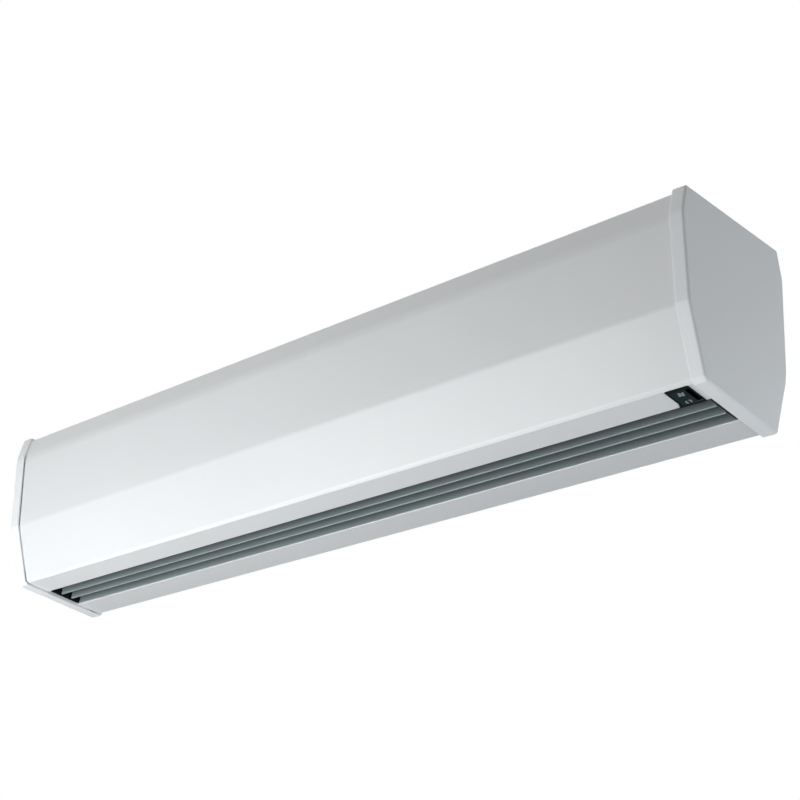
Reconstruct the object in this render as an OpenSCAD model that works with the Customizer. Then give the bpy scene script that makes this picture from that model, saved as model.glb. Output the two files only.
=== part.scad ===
// Air curtain that hangs over a doorway: a folded steel casing between two moulded end caps,
// with its intake on top, two fan wheels on one motor inside and a vaned outlet slot below.
// X runs along the casing, the front faces -Y and Z points up. The origin is the middle of the
// four hanging bushes, level with their top faces and with the tops of the end caps.

/* [Overall size] */
// Length over both end caps
overall_length = 1032; // [940:4:1300]
// Depth of an end cap between its two top corners
top_width = 166; // [162:1:176]
// Depth of an end cap across its shoulders, the widest place
shoulder_width = 181; // [178:1:192]
// Depth of an end cap between its two lower bends
waist_width = 172; // [165:1:176]
// Depth of the outlet face between its front and rear corners
outlet_face = 122; // [119:1:130]
// Drop from the top to the shoulders
shoulder_drop = 31; // [26:1:36]
// Drop from the top to the front cover's lower bend
waist_drop = 123; // [119:1:130]
// Drop from the top to the rear cover's lower bend
rear_bend_drop = 142; // [136:1:148]
// Drop from the top to the front corner of the outlet face
front_drop = 196; // [192:1:206]
// Drop from the top to the rear corner of the outlet face
rear_drop = 209; // [202:1:214]

/* [End caps] */
// Width of an end cap along the casing
cap_width = 16; // [15:0.5:22]
// How far the end caps stand proud of the casing all round
cap_proud = 3; // [2.5:0.5:5]
// Wall of the outer face of an end cap
cap_face = 3; // [2:0.5:4]
// Width of the rim that meets the casing
cap_rim = 6; // [5:0.5:8]
// Radius of the corners of an end cap's outline
cap_corner = 5; // [2:0.5:8]
// Rounding between the outer face and the rim
cap_round = 3; // [1:0.5:3]
// Radius of the screw bosses in an end cap
boss_radius = 5; // [4:0.5:6]
// Distance of the screw bosses from the outline of the cap
boss_inset = 16; // [15:0.5:18]

/* [Casing] */
// Sheet of the two covers and the intake grille
cover_sheet = 1.5; // [1:0.1:2]
// Sheet of the end plates, rails and motor brackets
frame_sheet = 2; // [1.5:0.1:2.5]
// Sheet of the duct walls
duct_sheet = 1.2; // [0.8:0.1:1.5]
// Outer radius of the bend at the shoulders
shoulder_radius = 12; // [6:1:16]
// Outer radius of the lower bends
waist_radius = 30; // [10:1:40]
// Outer radius of the two corners beside the outlet face
lip_radius = 4; // [3:0.5:5]
// Clearance between sheets that nest in one another
seat_gap = 0.1; // [0.05:0.05:0.3]

/* [Top] */
// Width of each cover's strip beside the intake grille
top_strip = 31; // [29:0.5:34]
// Width of one intake slot along the casing
grille_slot = 8; // [5:0.5:10]
// Bar between two intake slots
grille_bar = 6; // [4:0.5:10]
// Width of the bar along the middle of the intake grille
grille_spine = 8; // [6:0.5:14]
// Height of the two rails below the covers
rail_height = 22; // [20:0.5:26]
// Distance of the rails from the top corners of the end caps
rail_edge = 7.5; // [7:0.5:9]
// How far the intake grille lies on a rail
grille_seat = 8; // [7:0.5:9]
// Hanging bushes, distance along the casing
hang_spacing_x = 680; // [500:10:760]
// Distance of the hanging bushes from the top corners of the end caps
hang_inset = 18; // [17:0.5:19]
// Thread core radius of the hanging bushes
hang_bore = 3.4; // [2.5:0.1:4.2]
// Outer radius of the shank of a hanging bush
hang_shank = 6.5; // [5.5:0.1:7.5]
// Radius of the flange of a hanging bush
hang_flange = 10; // [8:0.5:11]
// Length of a hanging bush below its rail
hang_grip = 10; // [8:0.5:12]
// Radius of the opening for the supply cord
cord_entry = 5.5; // [4:0.5:7]
// Distance of the supply cord's entry from the casing's right end
entry_inset = 60; // [50:1:80]
// Wall of the rubber grommets for the supply cord
grommet_wall = 3; // [2:0.5:4]
// Width and thickness of a grommet's flange
grommet_rim = 2; // [1.5:0.5:3]

/* [Outlet] */
// Depth of the lip in front of the outlet slot
lip_depth = 35; // [34:0.5:37]
// Width of the outlet slot from the lip to the rear panel
outlet_gap = 48; // [44:0.5:51]
// Height of the folds beside the outlet slot
lip_fold = 8; // [6:0.5:10]
// Height of the strips that line the outlet slot
strip_height = 22; // [16:0.5:24]
// Thickness of those strips
strip_sheet = 1.6; // [1:0.1:2]
// Depth of a vane along the air stream
vane_depth = 25; // [18:0.5:26]
// Thickness of a vane
vane_sheet = 2.2; // [1.8:0.1:2.6]
// How far the vanes lie inside the casing's lower face
vane_recess = 1; // [0.5:0.1:3]
// Radius of a vane's pivot pins
vane_pin = 1.5; // [1:0.1:2]
// Thickness of the end blocks that carry the vanes
end_block = 2.5; // [2:0.5:5]

/* [Fan] */
// How far the fan's axis lies behind the middle of the casing
axis_back = 4; // [0:0.5:6]
// Drop from the top to the fan's axis
axis_drop = 86; // [82:0.5:88]
// Radius of the two fan wheels
wheel_radius = 42; // [38:0.5:43]
// Gap between the wheels and the duct's tongue
wheel_gap = 4; // [3:0.5:5]
// Growth of the rear scroll for each degree of its turn
scroll_growth = 0.2; // [0.15:0.01:0.25]
// Number of blades in a wheel
blade_count = 26; // [20:1:30]
// Depth of the ring of blades
blade_chord = 11; // [8:0.5:13]
// Thickness of a blade
blade_sheet = 1; // [0.8:0.1:1.2]
// Distance of a wheel from the end plate
wheel_end_gap = 8; // [6:0.5:12]
// Radius of the motor's shaft
shaft_radius = 5; // [4:0.1:6]
// Radius of the stub shafts at the ends of the fan
stub_radius = 4; // [3:0.1:5]
// Radial clearance of a shaft or pin in its bearing
running_gap = 0.04; // [0.02:0.01:0.08]
// Outer radius of the bearings
bearing_radius = 11; // [10:0.5:12]
// Width of the bearings
bearing_width = 7; // [6:0.5:8]
// Wall of the rubber cushion round an end bearing
cushion_wall = 5; // [3:0.5:6]
// Radius of the rubber hub that drives a wheel
hub_radius = 16; // [14:0.5:17]
// Length of that hub along the shaft
hub_length = 12; // [10:0.5:14]
// Wall of the rubber rings round the ends of the motor
ring_wall = 4; // [3:0.5:5]
// Length of the motor's can
motor_length = 84; // [70:1:100]
// Radius of the motor's can
motor_radius = 37; // [33:0.5:37.5]
// Wall of the motor's can
motor_wall = 2.5; // [2:0.1:3]
// Radius of the magnetic core that turns in the motor
core_radius = 21; // [18:0.5:22]

/* [Heater] */
// Radius of a heating rod
rod_radius = 4.2; // [3:0.1:4.5]
// Distance of the rods' ends from the end plates
rod_inset = 28; // [24:1:50]
// Sheet of the plates that carry the rods
rod_plate = 1.5; // [1:0.1:2]

/* [Electrics] */
// Length of the wiring tray
tray_length = 264; // [250:2:300]
// Height of the wiring tray
tray_height = 44; // [42:1:46]
// Distance of the tray from the duct wall
tray_stand = 4; // [3:0.5:5]
// Gap between the parts on the wiring tray
part_gap = 20; // [18:1:22]
// Length of the terminal block
block_length = 50; // [46:1:52]
// Radius of the motor's capacitor
capacitor_radius = 13; // [10:0.5:14]
// Length of the motor's capacitor
capacitor_length = 56; // [40:1:60]
// Radius of an insulated wire
wire_radius = 1.3; // [0.8:0.1:1.6]

/* [Switches] */
// Length of the switch panel along the casing
panel_length = 26.5; // [26.5:0.1:30]
// Width of the switch panel across the lip
panel_width = 30; // [29.5:0.1:30.3]
// Distance of the switch panel from the end cap
panel_margin = 7; // [6:0.5:12]
// Thickness of the switch panel's flange
panel_flange = 1; // [0.6:0.1:1.5]
// Width of the switch panel's border round the rockers
panel_border = 1.2; // [1:0.1:1.4]
// Length of a rocker
rocker_length = 21.5; // [20.5:0.1:21.6]
// Gap between and beside the rockers
rocker_gap = 0.5; // [0.4:0.1:0.7]
// Depth of the rockers' pin inside the casing's lower face
pin_depth = 4; // [3.8:0.1:4.4]
// Radius of the rockers' pin
pin_radius = 1; // [0.8:0.05:1.2]
// Height of the switch body above the lip
switch_height = 20; // [16:0.5:22]

/* [Hidden] */
$fn = 48;

// Plane geometry. A point is [y, z], and an outline runs with the material on its left.
function unit(v) = v / norm(v);
function left(v) = [-v[1], v[0]];
function turned(v, a) = [v[0] * cos(a) - v[1] * sin(a), v[0] * sin(a) + v[1] * cos(a)];
function between(a, b, f) = a + (b - a) * f;
function reversed(p) = [for (i = [len(p) - 1 : -1 : 0]) p[i]];
// A closed outline moved inwards
function inset(p, d) = [for (i = [0 : len(p) - 1])
  let (u = unit(p[i] - p[(i + len(p) - 1) % len(p)]), v = unit(p[(i + 1) % len(p)] - p[i]))
  p[i] + (left(u) + left(v)) * d / (1 + u * v)];
// An open path moved to its left
function shifted(p, d) = [for (i = [0 : len(p) - 1])
  let (u = unit(i == 0 ? p[1] - p[0] : p[i] - p[i - 1]),
       v = unit(i == len(p) - 1 ? p[i] - p[i - 1] : p[i + 1] - p[i]))
  p[i] + (left(u) + left(v)) * d / (1 + u * v)];
// The arc that rounds corner b between a and c
function bend(a, b, c, r) = r <= 0 ? [b] :
  let (u = unit(b - a), v = unit(c - b), side = sign(cross(u, v)), sweep = acos(u * v),
       start = b - u * r * tan(sweep / 2), centre = start + left(u) * side * r,
       steps = ceil(sweep / 9) + 1)
  [for (i = [0 : steps]) centre + turned(start - centre, side * sweep * i / steps)];
// The point at height z on the line through a and b
function at_level(a, b, z) = between(a, b, (z - a[1]) / (b[1] - a[1]));
function rounded(p, r) = [for (i = [0 : len(p) - 1])
  each bend(p[(i + len(p) - 1) % len(p)], p[i], p[(i + 1) % len(p)], r[i])];
function rounded_path(p, r) = [for (i = [0 : len(p) - 1])
  each (i == 0 || i == len(p) - 1 ? [p[i]] : bend(p[i - 1], p[i], p[i + 1], r[i - 1]))];
// The section of a folded sheet: its path, the radius at each fold, its thickness to the left
function folded(p, r, t) =
  let (inner = [for (i = [1 : len(p) - 2])
    r[i - 1] <= 0 ? 0 : max(0, r[i - 1] - t * sign(cross(p[i] - p[i - 1], p[i + 1] - p[i])))])
  concat(rounded_path(p, r), reversed(rounded_path(shifted(p, t), inner)));

// Along the casing
body_end = overall_length / 2 - cap_width;
plate_in = body_end - frame_sheet;
block_in = plate_in - end_block;
wheel_out = plate_in - wheel_end_gap;
bell_boss = bearing_width + 1;
wheel_in = motor_length / 2 + bell_boss + hub_length;

// The outline of an end cap, from its front top corner down the front and up the rear
cap_outline = [[-top_width / 2, 0], [-shoulder_width / 2, -shoulder_drop],
  [-waist_width / 2, -waist_drop], [-outlet_face / 2, -front_drop],
  [outlet_face / 2, -rear_drop], [waist_width / 2, -rear_bend_drop],
  [shoulder_width / 2, -shoulder_drop], [top_width / 2, 0]];
skin = inset(cap_outline, cap_proud);
top_radius = 3;
skin_radii = [top_radius, shoulder_radius, waist_radius, lip_radius,
  lip_radius, waist_radius, shoulder_radius, top_radius];
lining = inset(cap_outline, cap_proud + cover_sheet + seat_gap);

// The outlet face slopes down to the rear. s runs along it from its front corner, n up from it.
outlet_tilt = atan((rear_drop - front_drop) / outlet_face);
function at_outlet(s, n) = cap_outline[3] + turned([s, n], -outlet_tilt);
slot_end = lip_depth + outlet_gap;
vane_mid = cap_proud + vane_recess + vane_depth / 2;
vane_places = [lip_depth + outlet_gap / 3, lip_depth + outlet_gap * 2 / 3];

// Top
cover_under = cap_proud + cover_sheet;
grille_width = top_width - 2 * top_strip;
hang_spacing_y = top_width - 2 * hang_inset;
rail_out = top_width / 2 - rail_edge;
rail_in = grille_width / 2 - grille_seat;
rail_bottom = cover_under + rail_height;
hang_seat = cover_under + frame_sheet;
through = 2 * rail_bottom + 7;
hang_places = [for (x = [-1, 1], y = [-1, 1]) [x * hang_spacing_x / 2, y * hang_spacing_y / 2]];
entry = [body_end - entry_inset, -grille_width / 2 - cord_entry - grommet_wall - grommet_rim - 0.5];
cover_screw_x = [for (i = [-2 : 2]) i * (body_end - 100) / 2];
grille_screw_x = [for (i = [-1.5 : 1.5]) i * (body_end - 40) / 1.5];
grille_screw_y = grille_width / 2 - 4;
thin_wall = grommet_wall / 2;
slot_count = floor((2 * body_end - 24 - grille_bar) / (grille_slot + grille_bar));

// Fan and duct
axis = [axis_back, -axis_drop];
function round_axis(a, r) = axis + turned([r, 0], a);
scroll_start = 30;
scroll_end = -40;
scroll_arc = [for (a = [scroll_start : -7 : scroll_end])
  round_axis(a, wheel_radius + wheel_gap + 1 + (scroll_start - a) * scroll_growth)];
strip_top = cap_proud + strip_height + 3;
duct_low = cap_proud + lip_fold + 0.5;
rear_foot = at_outlet(slot_end, strip_top);
deep_lining = inset(cap_outline, cap_proud + cover_sheet + duct_sheet + seat_gap);
scroll_path = concat([at_level(deep_lining[6], deep_lining[5], -rail_bottom - 16),
  at_level(deep_lining[6], deep_lining[5], -rail_bottom - 24),
  round_axis(scroll_start + 5, wheel_radius + 22)],
  scroll_arc, [rear_foot, at_outlet(slot_end, duct_low)]);
tongue_radius = wheel_radius + wheel_gap + duct_sheet;
tongue_top = round_axis(214, tongue_radius);
duct_corner = round_axis(226, tongue_radius + 1.5);
front_foot = at_outlet(lip_depth - duct_sheet, strip_top);
duct_path = [at_level(lining[1], lining[2], tongue_top[1] + 8),
  at_level(lining[1], lining[2], tongue_top[1]), tongue_top, duct_corner, front_foot,
  at_outlet(lip_depth - duct_sheet, duct_low)];
wire_pass = [axis[0] - wheel_radius - 24, tongue_top[1]];
cord_pass = duct_path[1] + [cord_entry + thin_wall + grommet_rim + 8, 0];
bracket_x = motor_length / 2 + 2 + frame_sheet;
bracket_foot = 14;
bracket_top = rail_in + bracket_foot - 0.5;
ring_radius = bearing_radius + 4;
ring_out = ring_radius + ring_wall;

// The front duct wall carries the electrics: y' runs out of its front face, z' up along it
wall_tilt = atan2(front_foot[0] - duct_corner[0], duct_corner[1] - front_foot[1]);
function in_wall(p) = turned(p - duct_corner, -wall_tilt);
wall_height = norm(front_foot - duct_corner);
tray_right = body_end - panel_margin - panel_length - 6;
tray_left = tray_right - tray_length;
tray_front = -tray_stand;
tray_top = -(wall_height - tray_height) / 2;
tray_middle = tray_top - tray_height / 2;

// Heating rods, three across the duct
rod_line = 0.3;
function front_wall(f) = between(at_outlet(lip_depth, strip_top), shifted(duct_path, duct_sheet)[3], f);
function rear_wall(f) = between(rear_foot, scroll_arc[len(scroll_arc) - 1], f);
rod_places = [for (i = [1, 3, 5]) between(front_wall(rod_line), rear_wall(rod_line), i / 6)];
rod_end = plate_in - rod_inset;
rod_plate_x = [for (i = [-1.5 : 1.5]) i * (rod_end - 14) / 1.5];

// Switches
panel_mid = body_end - panel_margin - panel_length / 2;
panel_front = lip_depth - panel_width - 0.4;
hole_length = panel_length - 2 * panel_border + 0.4;
hole_front = panel_front + panel_border;
hole_width = lip_depth - cover_sheet - 0.2 - hole_front;
rocker_width = (hole_width - 2 * 0.8 - 3 * rocker_gap) / 2;
rocker_starts = [hole_front + 0.8 + rocker_gap, hole_front + 0.8 + 2 * rocker_gap + rocker_width];
pin_height = cap_proud + pin_depth;

// Screws: shank radius, head radius, head height
frame_screw = [2, 3.4, 2];
cover_screw = [1.7, 3.2, 1.8];
small_screw = [1.4, 2.6, 1.4];
bearing_screw_ring = bearing_radius + cushion_wall + 6;
// Screws of an end cap: front top, front bottom, rear bottom, rear top
top_boss = rail_out - frame_sheet - frame_screw[1] - 0.6;
low_bosses = inset(cap_outline, boss_inset);
boss_places = [[-top_boss, -boss_inset], low_bosses[3], low_bosses[4], [top_boss, -boss_inset]];

// Placing
module along_x(from, to) translate([from, 0, 0]) rotate([90, 0, 90]) linear_extrude(to - from) children();
module at_face(x = 0) translate([x, -outlet_face / 2, -front_drop]) rotate([-outlet_tilt, 0, 0]) children();
module at_wall() translate([0, duct_corner[0], duct_corner[1]]) rotate([wall_tilt, 0, 0]) children();
module on_axis() translate([0, axis[0], axis[1]]) rotate([0, 90, 0]) children();
module plate(from, to, outline) along_x(from, to) polygon(outline);
module bar_x(from, to, p, r) translate([from, p[0], p[1]]) rotate([0, 90, 0]) cylinder(h = to - from, r = r);
module fan_bar(from, to, r) bar_x(from, to, axis, r);
module fan_ring(from, to, r_out, r_in) difference() {
  fan_bar(from, to, r_out);
  fan_bar(from - 1, to + 1, r_in);
}
module hole_z(x, y, r, depth = through) translate([x, y, 1 - depth]) cylinder(h = depth, r = r);
module box_at(low, high) translate(low) cube(high - low);
// A screw with its head's underside at the origin and its shank towards -Z
module screw(size, length) difference() {
  union() {
    cylinder(h = size[2], r = size[1]);
    translate([0, 0, -length]) cylinder(h = length, r = size[0]);
  }
  translate([-size[0], -0.4, size[2] / 2]) cube([2 * size[0], 0.8, size[2]]);
}
module screw_x(x, p, side, size, length) translate([x, p[0], p[1]]) rotate([0, 90 * side, 0])
  screw(size, length);

// Casing
// What is cut from a fold beside the outlet slot where it would meet the end plates
module fold_trim(s) for (side = [-1, 1]) mirror([side < 0 ? 1 : 0, 0, 0]) at_face()
  box_at([plate_in - seat_gap, s, cover_under + seat_gap / 2],
    [body_end + 1, s + 2 * cover_sheet, cap_proud + lip_fold + 1]);
module front_cover() color("white") difference() {
  plate(-body_end, body_end, folded([[-grille_width / 2, -cap_proud], skin[0], skin[1], skin[2],
    skin[3], at_outlet(lip_depth, cap_proud), at_outlet(lip_depth, cap_proud + lip_fold)],
    [top_radius, shoulder_radius, waist_radius, lip_radius, cover_sheet + 0.1], cover_sheet));
  at_face(panel_mid) box_at([-hole_length / 2, hole_front, cap_proud - 1],
    [hole_length / 2, hole_front + hole_width, cap_proud + cover_sheet + 1]);
  for (x = cover_screw_x) hole_z(x, -hang_spacing_y / 2, cover_screw[0] + 0.3);
  for (p = hang_places) if (p[1] < 0) hole_z(p[0], p[1], hang_shank + seat_gap, depth = 20);
  hole_z(entry[0], entry[1], cord_entry + grommet_wall, depth = 20);
  fold_trim(lip_depth - 1.5 * cover_sheet);
}
module rear_cover() color("white") difference() {
  plate(-body_end, body_end, folded([at_outlet(slot_end, cap_proud + lip_fold),
    at_outlet(slot_end, cap_proud), skin[4], skin[5], skin[6], skin[7],
    [grille_width / 2, -cap_proud]],
    [cover_sheet + 0.1, lip_radius, waist_radius, shoulder_radius, top_radius], cover_sheet));
  for (x = cover_screw_x) hole_z(x, hang_spacing_y / 2, cover_screw[0] + 0.3);
  for (p = hang_places) if (p[1] > 0) hole_z(p[0], p[1], hang_shank + seat_gap, depth = 20);
  fold_trim(slot_end - 0.5 * cover_sheet);
}
module intake_grille() color("gainsboro") {
  half = grille_width / 2 - seat_gap;
  pitch = grille_slot + grille_bar;
  translate([0, 0, -cover_under]) linear_extrude(cover_sheet) difference() {
    square([2 * body_end - 0.4, 2 * half], center = true);
    for (i = [0 : slot_count - 1], side = [-1, 1])
      translate([(i - (slot_count - 1) / 2) * pitch, side * (grille_spine / 2 + (half - 9) / 2)])
        square([grille_slot, half - grille_spine / 2 - 9], center = true);
    for (x = grille_screw_x, side = [-1, 1])
      translate([x, side * grille_screw_y]) circle(small_screw[0] + 0.2);
  }
}
// One end cap: rim, rounded outer wall and four screw bosses
module end_cap() color("whitesmoke") {
  radii = [for (i = [0 : 7]) cap_corner];
  face = body_end + cap_width - cap_face;
  difference() {
    plate(body_end, face, rounded(cap_outline, radii));
    plate(body_end - 1, face + 1, rounded(inset(cap_outline, cap_rim), radii));
  }
  hull() for (a = [0 : 30 : 90])
    plate(face, face + 0.01 + (cap_face - 0.01) * sin(a),
      rounded(inset(cap_outline, cap_round * (1 - cos(a))),
        [for (r = radii) r - cap_round * (1 - cos(a)) + 0.1]));
  for (p = boss_places) difference() {
    bar_x(body_end, face, p, boss_radius);
    bar_x(body_end - 1, face - 1, p, frame_screw[0]);
  }
}
module end_plate() color("silver") difference() {
  plate(plate_in, body_end, rounded(lining, [for (r = skin_radii) r - cover_sheet]));
  for (p = boss_places) bar_x(plate_in - 1, body_end + 1, p, frame_screw[0] + 0.2);
  for (y = [-1, 1]) bar_x(plate_in - 1, body_end + 1, rail_screw(y), small_screw[0] + 0.1);
  for (s = vane_places) bar_x(plate_in - 1, body_end + 1, at_outlet(s, vane_mid), vane_pin + running_gap);
  for (a = [90, 210, 330])
    bar_x(plate_in - 1, body_end + 1, round_axis(a, bearing_screw_ring), small_screw[0] + 0.1);
  fan_bar(plate_in - 1, body_end + 1, stub_radius + 4);
}
function rail_screw(side) = [side * (rail_in + grille_seat), -cover_under - rail_height / 2];
module rail_shape() {
  difference() {
    plate(-plate_in, plate_in, folded([[-rail_in, -cover_under], [-rail_out, -cover_under],
      [-rail_out, -rail_bottom], [-rail_in, -rail_bottom]], [2.5, 2.5], frame_sheet));
    for (x = cover_screw_x) hole_z(x, -hang_spacing_y / 2, cover_screw[0] + 0.05, depth = 20);
    for (x = grille_screw_x) hole_z(x, -grille_screw_y, small_screw[0] + 0.05, depth = 20);
    for (side = [-1, 1]) {
      hole_z(side * hang_spacing_x / 2, -hang_spacing_y / 2, hang_shank + seat_gap, depth = 20);
      hole_z(side * (bracket_x + 6), -rail_in - grille_seat, small_screw[0] + 0.05);
    }
  }
  for (side = [-1, 1]) mirror([side < 0 ? 1 : 0, 0, 0]) difference() {
    box_at([plate_in - frame_sheet, -rail_out + frame_sheet, -rail_bottom + frame_sheet],
      [plate_in, -rail_in, -cover_under - frame_sheet]);
    bar_x(plate_in - 9, plate_in + 1, boss_places[0], frame_screw[0] + 0.2);
    bar_x(plate_in - 9, plate_in + 1, rail_screw(-1), small_screw[0] + 0.05);
  }
}
module front_rail() color("silver") difference() {
  rail_shape();
  hole_z(entry[0], entry[1], cord_entry + grommet_wall);
}
module rear_rail() color("silver") mirror([0, 1, 0]) rail_shape();
// Threaded bushes that the hanging rods or wall brackets screw into
module suspension_bushes() color("goldenrod") for (p = hang_places) translate([p[0], p[1], 0]) difference() {
  union() {
    translate([0, 0, -cap_proud]) cylinder(h = cap_proud, r = hang_flange);
    translate([0, 0, -hang_seat - hang_grip]) cylinder(h = hang_seat + hang_grip, r = hang_shank);
    translate([0, 0, -hang_seat - 0.3 * hang_grip]) cylinder(h = 0.3 * hang_grip, r = 0.87 * hang_flange);
  }
  translate([0, 0, 1 - through]) cylinder(h = through, r = hang_bore);
}

// Duct and outlet
module rear_scroll() color("lightgray") plate(-plate_in, plate_in,
  folded(scroll_path, [for (i = [0 : len(scroll_path) - 3]) i < 2 ? 3 : 0], duct_sheet));
module front_duct() color("lightgray") difference() {
  plate(-plate_in, plate_in, folded(duct_path, [2, 4, 4, 3], duct_sheet));
  translate([entry[0], cord_pass[0], cord_pass[1] - 6]) cylinder(h = 12, r = cord_entry + thin_wall);
  translate([wheel_in, wire_pass[0], wire_pass[1] - 6]) cylinder(h = 12, r = 3 * wire_radius + 2);
}
module outlet_strip(s, rise) color("dimgray") at_face()
  box_at([-plate_in, s, cap_proud + rise], [plate_in, s + strip_sheet, cap_proud + rise + strip_height]);
module outlet_front_strip() outlet_strip(lip_depth, 2);
module outlet_rear_strip() outlet_strip(slot_end - strip_sheet, 0.6);
module outlet_end() color("black") difference() {
  at_face() box_at([block_in, lip_depth + strip_sheet + 0.4, cap_proud + 0.4],
    [plate_in, slot_end - strip_sheet - 0.4, strip_top + 3]);
  for (s = vane_places) bar_x(block_in - 1, plate_in + 1, at_outlet(s, vane_mid), vane_pin + running_gap);
}
module vane(s) color("slategray") {
  tip = block_in - 0.4;
  half = [vane_sheet / 2, vane_depth / 2];
  middle = at_outlet(s, vane_mid);
  corners = [[-half[0], -half[1]], [half[0], -half[1]], [half[0], half[1]], [-half[0], half[1]]];
  plate(-tip, tip, rounded([for (c = corners) middle + turned(c, -outlet_tilt)],
    [for (c = corners) half[0] * 0.9]));
  for (side = [-1, 1]) mirror([side < 0 ? 1 : 0, 0, 0]) bar_x(tip - 6, plate_in + 1, middle, vane_pin);
}
module vane_front() vane(vane_places[0]);
module vane_rear() vane(vane_places[1]);

// Motor
module motor_housing() color("darkgray") difference() {
  union() {
    fan_bar(-motor_length / 2, motor_length / 2, motor_radius);
    fan_bar(-motor_length / 2 - bell_boss, motor_length / 2 + bell_boss, ring_radius);
  }
  fan_bar(-motor_length / 2 + motor_wall, motor_length / 2 - motor_wall, motor_radius - motor_wall);
  fan_bar(-body_end, body_end, shaft_radius + 1);
  for (side = [-1, 1]) mirror([side < 0 ? 1 : 0, 0, 0])
    fan_bar(motor_length / 2 - 1, motor_length / 2 + bell_boss + 1, bearing_radius);
}
module motor_stator() color("peru") difference() {
  union() {
    fan_bar(-motor_length * 0.26, motor_length * 0.26, motor_radius - motor_wall);
    fan_bar(-motor_length * 0.38, motor_length * 0.38, motor_radius - motor_wall - 3);
  }
  fan_bar(-body_end, body_end, core_radius + 0.6);
}
module motor_bearings() color("lightsteelblue") for (side = [-1, 1]) mirror([side < 0 ? 1 : 0, 0, 0])
  fan_ring(motor_length / 2 - 1, motor_length / 2 - 1 + bearing_width,
    bearing_radius, shaft_radius + running_gap);
module motor_core() color("gray")
  fan_ring(-motor_length * 0.27, motor_length * 0.27, core_radius, shaft_radius);
module motor_shaft() color("lightgray")
  fan_bar(-wheel_in - hub_length - 2, wheel_in + hub_length + 2, shaft_radius);
module motor_bracket() color("silver") difference() {
  union() {
    plate(bracket_x, bracket_x + frame_sheet, [[-bracket_top, -rail_bottom],
      [-bracket_top, -rail_bottom - 8], round_axis(150, wheel_radius - 4), round_axis(190, ring_out + 5),
      round_axis(225, ring_out + 5), round_axis(270, ring_out + 5), round_axis(315, ring_out + 5),
      round_axis(350, ring_out + 5), round_axis(30, wheel_radius - 4),
      [bracket_top, -rail_bottom - 8], [bracket_top, -rail_bottom]]);
    for (side = [-1, 1]) mirror([0, side < 0 ? 1 : 0, 0])
      box_at([bracket_x, rail_in, -rail_bottom - frame_sheet],
        [bracket_x + bracket_foot, bracket_top, -rail_bottom]);
  }
  fan_bar(bracket_x - 1, bracket_x + frame_sheet + 1, ring_out);
  for (side = [-1, 1]) hole_z(bracket_x + 6, side * (rail_in + grille_seat), small_screw[0] + 0.2);
}
module motor_rings() color("black") for (side = [-1, 1]) mirror([side < 0 ? 1 : 0, 0, 0]) difference() {
  union() {
    fan_bar(bracket_x - 2, bracket_x + frame_sheet + 2, ring_out);
    fan_bar(bracket_x - 2, bracket_x, ring_out + 3);
    fan_bar(bracket_x + frame_sheet, bracket_x + frame_sheet + 2, ring_out + 3);
  }
  fan_bar(-body_end, body_end, ring_radius);
}

// Fan wheels
stub_seat = 5 * stub_radius;
blade_out = wheel_radius - 0.5;
blade_in = wheel_radius - blade_chord;
blade_line = [for (i = [0 : 5]) let (f = i / 5) [between(blade_in, blade_out, f), 8 * f + 5 * sin(180 * f)]];
module blades() linear_extrude(wheel_out - wheel_in) for (i = [0 : blade_count - 1])
  rotate(i * 360 / blade_count) polygon(concat(
    [for (b = blade_line) turned([b[0], -blade_sheet / 2], b[1])],
    [for (b = reversed(blade_line)) turned([b[0], blade_sheet / 2], b[1])]));
module impeller() color("dimgray") difference() {
  union() {
    translate([wheel_in, axis[0], axis[1]]) rotate([0, 90, 0]) blades();
    for (f = [0.25, 0.5, 0.75]) let (x = between(wheel_in, wheel_out, f))
      fan_ring(x - 0.8, x + 0.8, wheel_radius, blade_in - 1);
    for (x = [wheel_in, wheel_out - 2]) fan_bar(x, x + 2, wheel_radius);
    fan_bar(wheel_in, wheel_in + hub_length + 2, hub_radius + 3);
    fan_bar(wheel_out - stub_seat, wheel_out, stub_radius + 6);
  }
  fan_bar(wheel_in - 1, wheel_in + hub_length, hub_radius);
  fan_bar(wheel_in - 1, wheel_in + hub_length + 3, shaft_radius + 1);
  fan_bar(wheel_out - stub_seat - 1, wheel_out + 1, stub_radius);
}
module drive_hub() color("black") fan_ring(wheel_in, wheel_in + hub_length, hub_radius, shaft_radius);
module stub_shaft() color("lightgray")
  fan_bar(wheel_out - stub_seat, body_end + bearing_width + 2, stub_radius);
module bearing() color("lightsteelblue") difference() {
  fan_ring(body_end + 1, body_end + 1 + bearing_width, bearing_radius, stub_radius + running_gap);
  fan_ring(body_end + bearing_width + 0.6, body_end + bearing_width + 2, bearing_radius - 2, stub_radius + 2);
}
module bearing_cushion() color("black") {
  fan_ring(body_end, body_end + 2 + bearing_width, bearing_radius + cushion_wall, bearing_radius);
  fan_ring(body_end, body_end + 1, bearing_radius + 1, bearing_radius - 3);
}
module bearing_cup() color("silver") difference() {
  union() {
    fan_ring(body_end, body_end + 3.5 + bearing_width, bearing_radius + cushion_wall + 1.5,
      bearing_radius + cushion_wall);
    fan_ring(body_end + 2 + bearing_width, body_end + 3.5 + bearing_width,
      bearing_radius + cushion_wall + 1.5, stub_radius + 3);
    fan_ring(body_end, body_end + 1.5, bearing_screw_ring + 4.5, bearing_radius + cushion_wall);
  }
  for (a = [90, 210, 330])
    bar_x(body_end - 1, body_end + 3, round_axis(a, bearing_screw_ring), small_screw[0] + 0.2);
}

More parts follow.
